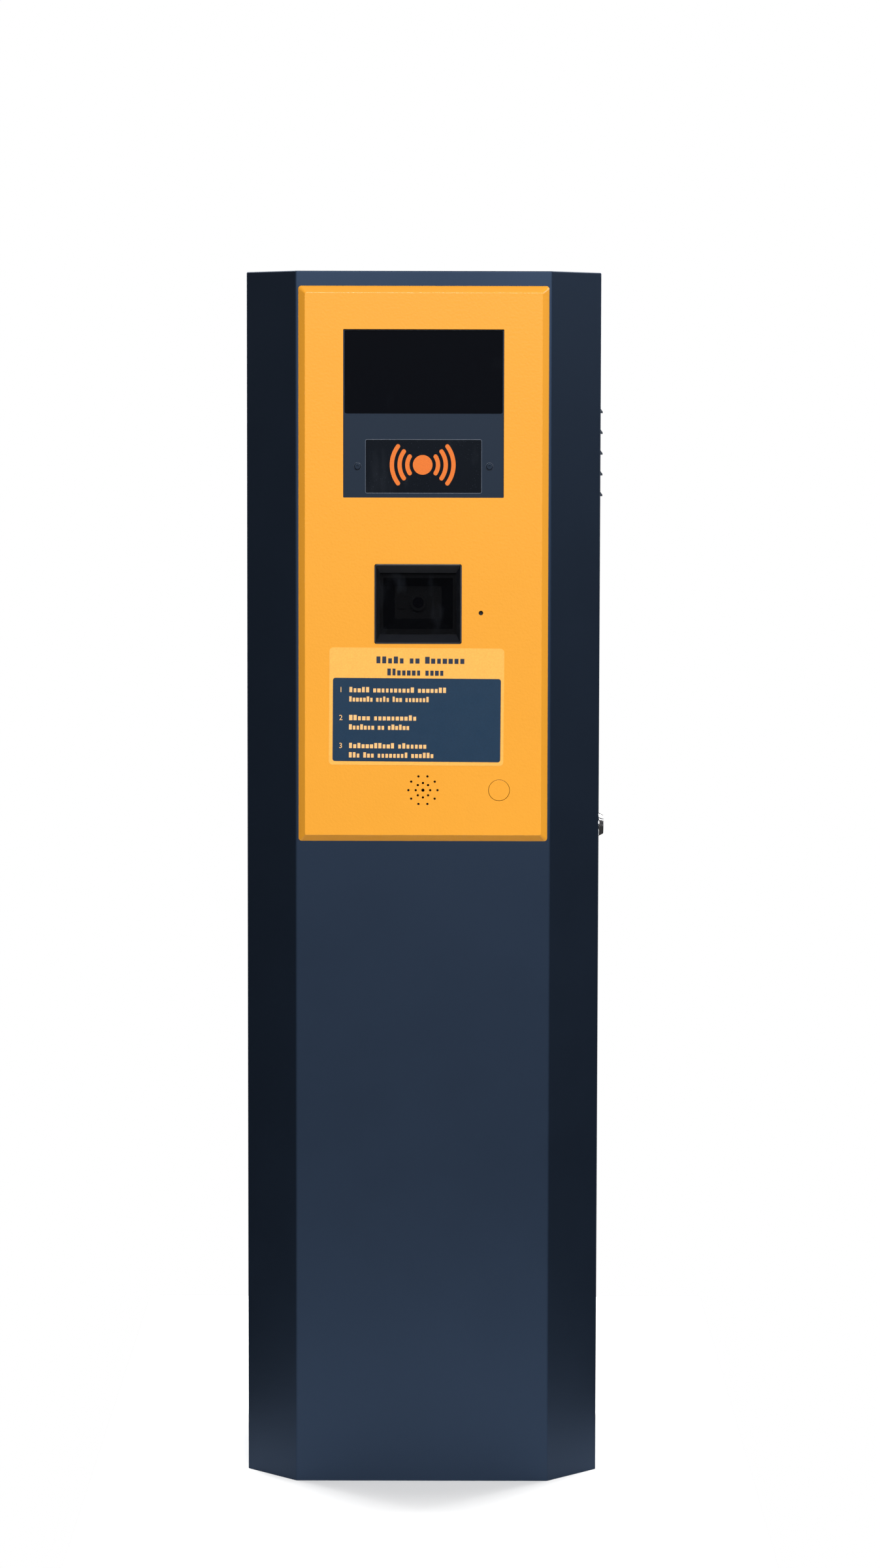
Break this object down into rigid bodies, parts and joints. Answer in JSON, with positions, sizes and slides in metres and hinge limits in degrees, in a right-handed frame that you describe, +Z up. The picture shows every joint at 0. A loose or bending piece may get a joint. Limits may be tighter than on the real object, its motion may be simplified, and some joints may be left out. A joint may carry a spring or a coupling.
{
  "type": "parking pay station",
  "caption": "Free-standing sheet-steel pay column with a raised fascia carrying display, contactless reader, scanner, speaker and call button, and a louvred side service door.",
  "frame": {"origin": "centre of the base's underside, on the ground", "axes": "+Z up; the fascia faces -Y; the service door is on +X"},
  "size_m": [0.3579, 0.3108, 1.2],
  "materials": {
    "body_paint": "satin powder coat, dark blue-grey",
    "fascia_paint": "gloss powder coat, amber yellow",
    "reader_paint": "satin, dark blue",
    "zinc": "zinc plated",
    "lock_chrome": "polished",
    "seal_rubber": "soft",
    "black_plastic": "fine grain",
    "gloss_black": "smooth",
    "screen_glass": "clear cover over a dark display",
    "clear_glass": "clear",
    "label_film": "printed film",
    "screen_mesh": "perforated",
    "circuit": "solder mask",
    "paper_cone": "pressed paper",
    "ferrite": "dull",
    "grey_plastic": "moulded",
    "case_metal": "bright sheet",
    "brass": "machined",
    "green_plastic": "moulded",
    "button_metal": "gloss, as the fascia"
  },
  "bodies": {
    "cabinet": {"front_shell": "body_paint", "rear_panel": "body_paint", "rear_screws": "zinc", "top_cover": "body_paint", "door_frame": "body_paint", "door_seal": "seal_rubber", "base_plate": "zinc", "cable_grommet": "seal_rubber", "hinge_frame_halves": "body_paint", "hinge_pins": "zinc", "fascia_panel": "fascia_paint", "fascia_nuts": "zinc", "instruction_label": "label_film", "reader_plate": "reader_paint", "display_glass": "screen_glass", "display_module": "case_metal", "display_board": "circuit", "display_clips": "zinc", "reader_cover": "gloss_black", "reader_housing": "black_plastic", "reader_screws": "zinc", "scanner_bezel": "black_plastic", "scanner_glass": "clear_glass", "scanner_hood": "black_plastic", "scanner_engine": "black_plastic", "scanner_lens": "clear_glass", "microphone": "case_metal", "microphone_boot": "seal_rubber", "speaker_basket": "zinc", "speaker_cone": "paper_cone", "speaker_magnet": "ferrite", "speaker_clamps": "zinc", "button_housing": "black_plastic", "button_switch": "black_plastic", "equipment_plate": "zinc", "plate_standoffs": "zinc", "plate_nuts": "zinc", "power_supply": "case_metal", "supply_terminals": "black_plastic", "controller_case": "case_metal", "controller_board": "circuit", "din_rail": "zinc", "circuit_breaker": "grey_plastic", "loop_detector": "grey_plastic", "terminal_blocks": "green_plastic", "earth_bar": "brass"},
    "door": {"service_door": "body_paint", "vent_screen": "screen_mesh", "fan_frame": "black_plastic", "fan_guard": "zinc", "fan_fasteners": "zinc", "hinge_door_halves": "body_paint", "lock_housing": "lock_chrome", "lock_nut": "zinc"},
    "lock": {"lock_plug": "lock_chrome", "lock_cam": "zinc", "cam_screw": "zinc"},
    "fan": {"fan_rotor": "black_plastic"},
    "button": {"button_cap": "button_metal"},
    "toggle": {"breaker_toggle": "black_plastic"}
  },
  "joints": [
    {"name": "door_hinge", "type": "hinge", "parent": "cabinet", "child": "door", "pos_m": [0.179, 0.119, 0.601], "axis": [0, 0, 1], "range_deg": [0, 110]},
    {"name": "lock_turn", "type": "hinge", "parent": "door", "child": "lock", "pos_m": [0.15, -0.06, 0.65], "axis": [-1, 0, 0], "range_deg": [0, 90]},
    {"name": "fan_spin", "type": "hinge", "parent": "door", "child": "fan", "pos_m": [0.16, 0.022, 1.0249], "axis": [1, 0, 0], "continuous": true},
    {"name": "button_press", "type": "slide", "parent": "cabinet", "child": "button", "axis": [0, 1, 0], "range_m": [0, 0.0015], "stiffness_N_per_m": 800, "springref_m": -0.001},
    {"name": "breaker_flip", "type": "hinge", "parent": "cabinet", "child": "toggle", "pos_m": [-0.0865, -0.048, 0.25], "axis": [0, 1, 0], "range_deg": [0, 70]}
  ]
}
